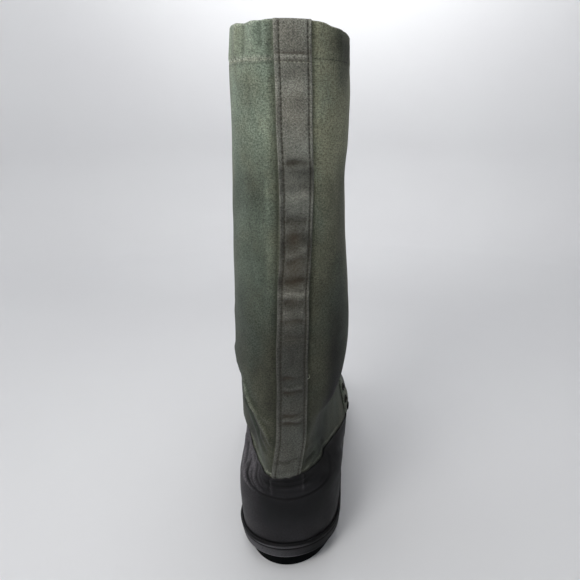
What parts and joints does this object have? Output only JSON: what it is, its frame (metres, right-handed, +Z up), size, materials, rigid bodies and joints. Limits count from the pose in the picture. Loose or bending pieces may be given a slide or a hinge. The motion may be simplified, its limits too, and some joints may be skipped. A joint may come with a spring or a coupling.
{
  "type": "mukluk",
  "caption": "Tall cold-weather mukluk for a left foot: hollow canvas shaft with a webbing back strip on a moulded rubber bottom with foxing, treaded outsole and insole, standing empty.",
  "frame": {"origin": "on the ground under the middle of the heel, on the underside of the heel's tread", "axes": "+Z up along the shaft, +Y to the toe, +X to the inner (medial) side of the left foot"},
  "size_m": [0.1285, 0.3197, 0.4505],
  "materials": {
    "outsole": "moulded, matt",
    "foxing_band": "calendered strip, dull",
    "rubber_bottom": "vulcanised sheet, satin",
    "heel_counter": "vulcanised sheet, satin",
    "canvas_upper": "cotton duck, plain weave, faded green",
    "back_strip": "cotton webbing, twill weave",
    "insole": "pressed felt",
    "eyelet_patch": "cotton duck, plain weave",
    "eyelet": "blackened, worn"
  },
  "bodies": {
    "root": {"outsole": "outsole", "foxing_band": "foxing_band", "rubber_bottom": "rubber_bottom", "heel_counter": "heel_counter", "canvas_upper": "canvas_upper", "back_strip": "back_strip", "insole": "insole", "eyelet_patch_inner": "eyelet_patch", "eyelet_patch_outer": "eyelet_patch", "eyelet_inner_1": "eyelet", "eyelet_inner_2": "eyelet", "eyelet_inner_3": "eyelet", "eyelet_outer_1": "eyelet", "eyelet_outer_2": "eyelet", "eyelet_outer_3": "eyelet"}
  },
  "joints": []
}
